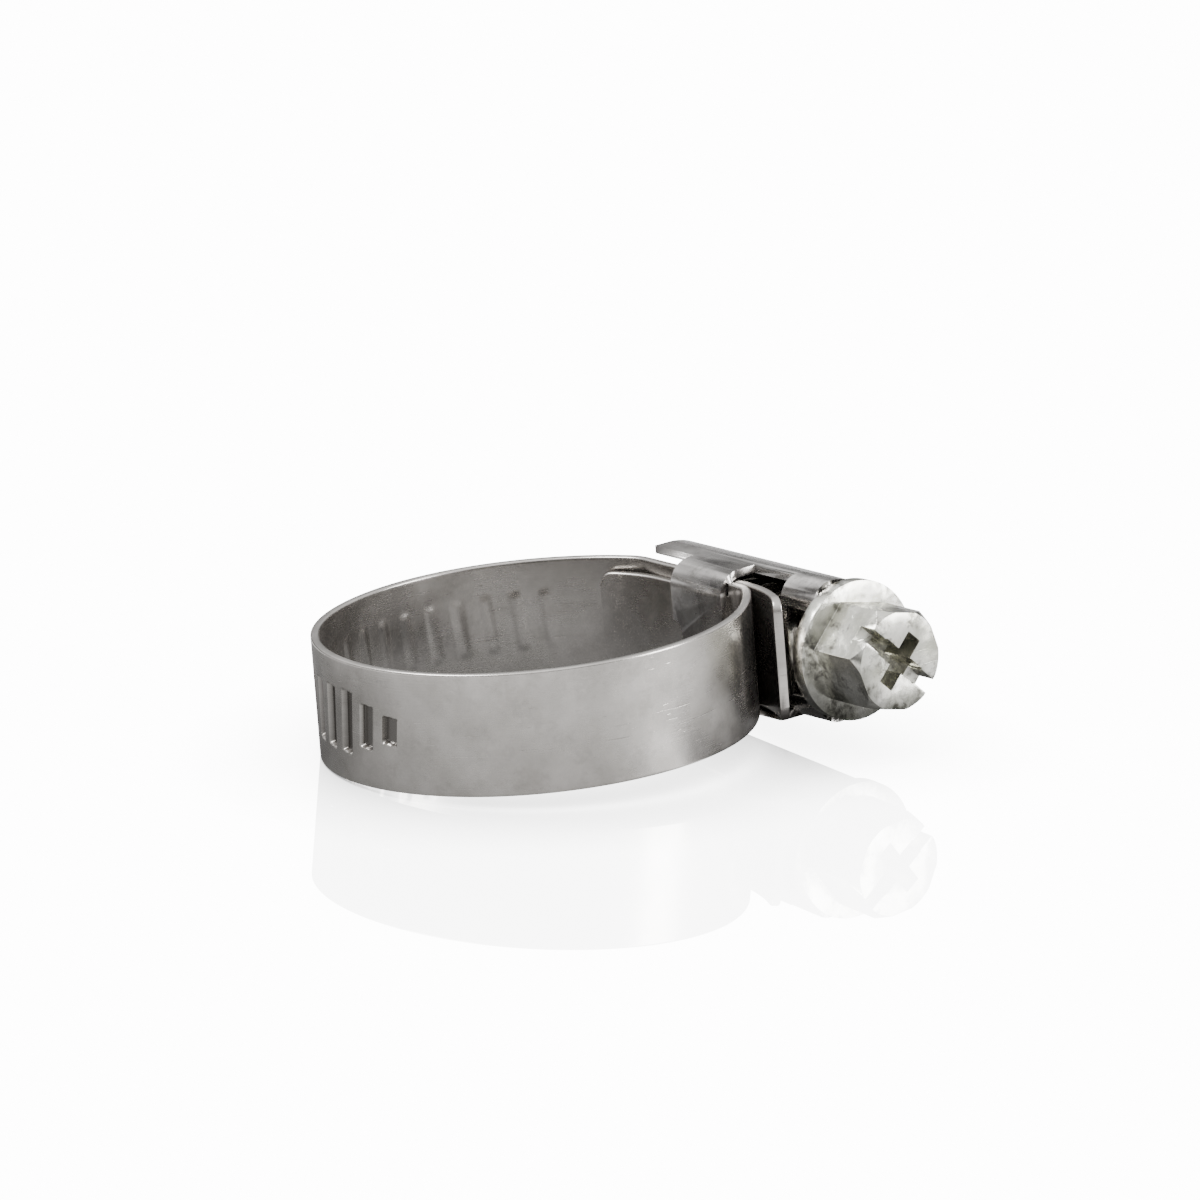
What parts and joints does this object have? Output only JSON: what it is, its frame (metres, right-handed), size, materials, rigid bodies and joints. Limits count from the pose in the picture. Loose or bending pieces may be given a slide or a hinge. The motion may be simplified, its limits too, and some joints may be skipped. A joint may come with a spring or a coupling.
{
  "type": "hose clamp",
  "caption": "Worm-drive hose clamp: a steel band that runs round a hose and through a pressed housing, tightened by a worm screw with a hexagon head.",
  "frame": {"origin": "centre of the hose seat, at the middle of the band's width", "axes": "+Z along the hose's axis, +X from the hose to the housing, the screw's head towards -Y"},
  "size_m": [0.0392, 0.0343, 0.0104],
  "materials": {
    "band_steel": "satin stainless strip with fine scratches",
    "housing_steel": "pressed stainless sheet, brighter on its bends",
    "plated_screw": "zinc plate with a faint yellow-green tint, brown in the slot"
  },
  "bodies": {
    "housing": {"housing": "housing_steel", "band_head": "band_steel"},
    "screw": {"worm_screw": "plated_screw"},
    "tongue": {"band_tongue": "band_steel"},
    "link_1": {"band_link_1": "band_steel"},
    "link_2": {"band_link_2": "band_steel"},
    "link_3": {"band_link_3": "band_steel"},
    "link_4": {"band_link_4": "band_steel"},
    "link_5": {"band_link_5": "band_steel"},
    "link_6": {"band_link_6": "band_steel"},
    "tail": {"band_tail": "band_steel"},
    "tip": {"band_tip": "band_steel"}
  },
  "joints": [
    {"name": "screw_spin", "type": "hinge", "parent": "housing", "child": "screw", "pos_m": [0.0192, -0.01025, 0], "axis": [0, 1, 0], "range_deg": [0, 540]},
    {"name": "tail_slide", "type": "slide", "parent": "housing", "child": "tail", "axis": [0, -1, 0], "range_m": [0, 0.0034]},
    {"name": "tongue_bend", "type": "hinge", "parent": "housing", "child": "tongue", "pos_m": [0.01517, 0.0006, 0], "axis": [0, 0, 1], "range_deg": [0, 18.05]},
    {"name": "tip_bend", "type": "hinge", "parent": "tail", "child": "tip", "pos_m": [0.01588, -0.006, 0], "axis": [0, 0, -1], "range_deg": [0, 24.05]},
    {"name": "front_bend_1", "type": "hinge", "parent": "housing", "child": "link_1", "pos_m": [0.01517, -0.00614, 0], "axis": [0, 0, 1], "range_deg": [0, 2.76]},
    {"name": "front_bend_2", "type": "hinge", "parent": "link_1", "child": "link_2", "pos_m": [0.00887, -0.01294, 0], "axis": [0, 0, 1], "range_deg": [0, 2.25]},
    {"name": "front_bend_3", "type": "hinge", "parent": "link_2", "child": "link_3", "pos_m": [-0.00772, -0.01236, 0], "axis": [0, 0, -1], "range_deg": [0, 5.59]},
    {"name": "rear_bend_1", "type": "hinge", "parent": "tail", "child": "link_6", "pos_m": [0.01588, 0.00504, 0], "axis": [0, 0, -1], "range_deg": [0, 2.85]},
    {"name": "rear_bend_2", "type": "hinge", "parent": "link_6", "child": "link_5", "pos_m": [0.01225, 0.01055, 0], "axis": [0, 0, -1], "range_deg": [0, 2.24]},
    {"name": "rear_bend_3", "type": "hinge", "parent": "link_5", "child": "link_4", "pos_m": [-0.00455, 0.0139, 0], "axis": [0, 0, 1], "range_deg": [0, 4.41]}
  ],
  "couplings": [
    {"joint": "tail_slide", "follows": "screw_spin", "m_per_rad": 0.0003581},
    {"joint": "tongue_bend", "follows": "screw_spin", "ratio": 0.033333},
    {"joint": "tip_bend", "follows": "screw_spin", "ratio": 0.044444},
    {"joint": "front_bend_1", "follows": "screw_spin", "ratio": 0.005027},
    {"joint": "front_bend_2", "follows": "screw_spin", "ratio": 0.004076},
    {"joint": "front_bend_3", "follows": "screw_spin", "ratio": 0.010266},
    {"joint": "rear_bend_1", "follows": "screw_spin", "ratio": 0.005178},
    {"joint": "rear_bend_2", "follows": "screw_spin", "ratio": 0.004053},
    {"joint": "rear_bend_3", "follows": "screw_spin", "ratio": 0.008069}
  ]
}
